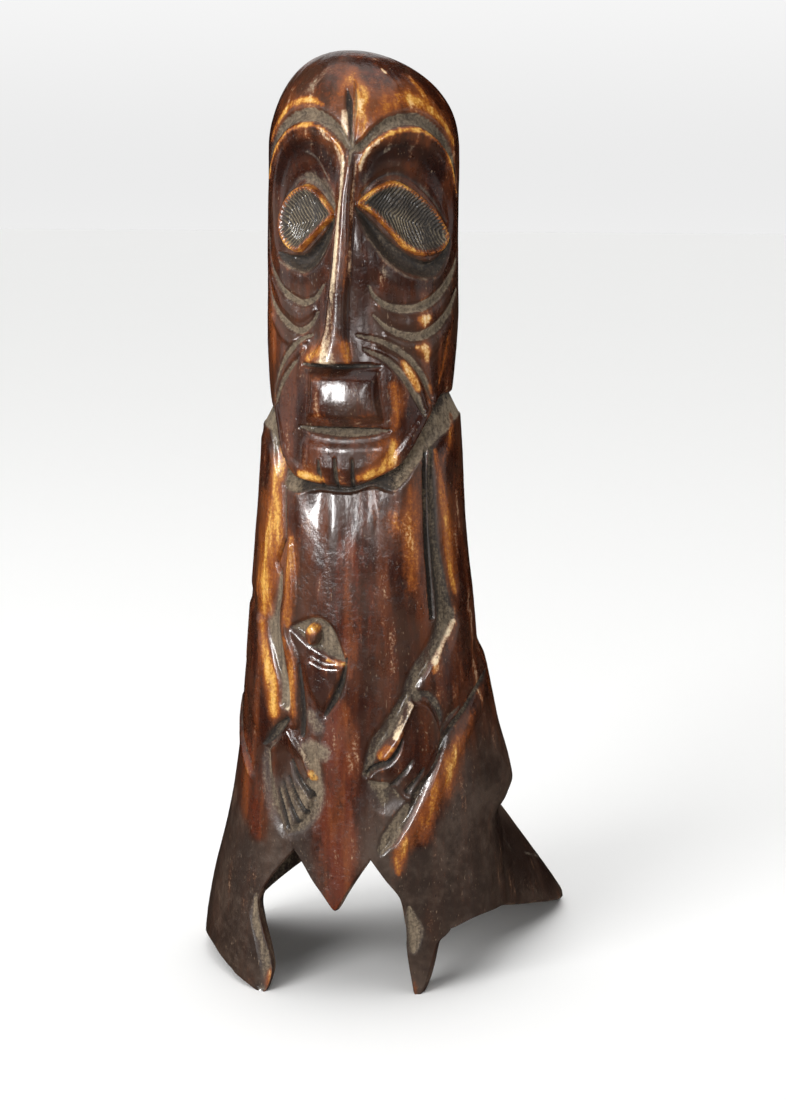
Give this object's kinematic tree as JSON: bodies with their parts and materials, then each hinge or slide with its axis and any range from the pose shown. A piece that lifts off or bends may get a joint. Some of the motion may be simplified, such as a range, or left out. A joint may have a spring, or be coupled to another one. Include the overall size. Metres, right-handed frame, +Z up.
{
  "type": "carved ancestor figure",
  "caption": "Standing figure carved from one hollow flared bone: domed mask face, hands at the belly, pointed feet round an open marrow hollow.",
  "frame": {"origin": "centre of the figure's bounding box on the plane that its feet stand on", "axes": "+Z up, -Y the way the figure faces, +X towards the figure's own left"},
  "size_m": [0.0888, 0.0902, 0.23],
  "materials": {
    "patina_bone": "gloss",
    "amber_bone": "gloss",
    "grimed_bone": "matte"
  },
  "bodies": {
    "root": {"skull_crown": "patina_bone", "head_core": "patina_bone", "nose_ridge": "amber_bone", "upper_lip": "patina_bone", "lower_lip": "grimed_bone", "chin_beard": "patina_bone", "brow_ridge_left": "amber_bone", "eye_left": "amber_bone", "upper_arm_left": "patina_bone", "forearm_left": "patina_bone", "hand_left": "patina_bone", "cloak_edge_left": "amber_bone", "brow_ridge_right": "amber_bone", "eye_right": "amber_bone", "upper_arm_right": "amber_bone", "forearm_right": "patina_bone", "hand_right": "patina_bone", "cloak_edge_right": "patina_bone", "cheek_scar_left_1": "patina_bone", "cheek_scar_left_2": "patina_bone", "cheek_scar_left_3": "patina_bone", "cheek_scar_right_1": "patina_bone", "cheek_scar_right_2": "patina_bone", "cheek_scar_right_3": "patina_bone", "neck_collar": "grimed_bone", "torso": "patina_bone", "navel_knob": "amber_bone", "belly_leaf": "patina_bone", "front_tongue": "patina_bone", "back_panel": "patina_bone", "front_leg_left": "patina_bone", "side_panel_left": "patina_bone", "rear_leg_left": "patina_bone", "front_leg_right": "patina_bone", "side_panel_right": "patina_bone", "rear_leg_right": "patina_bone"}
  },
  "joints": []
}
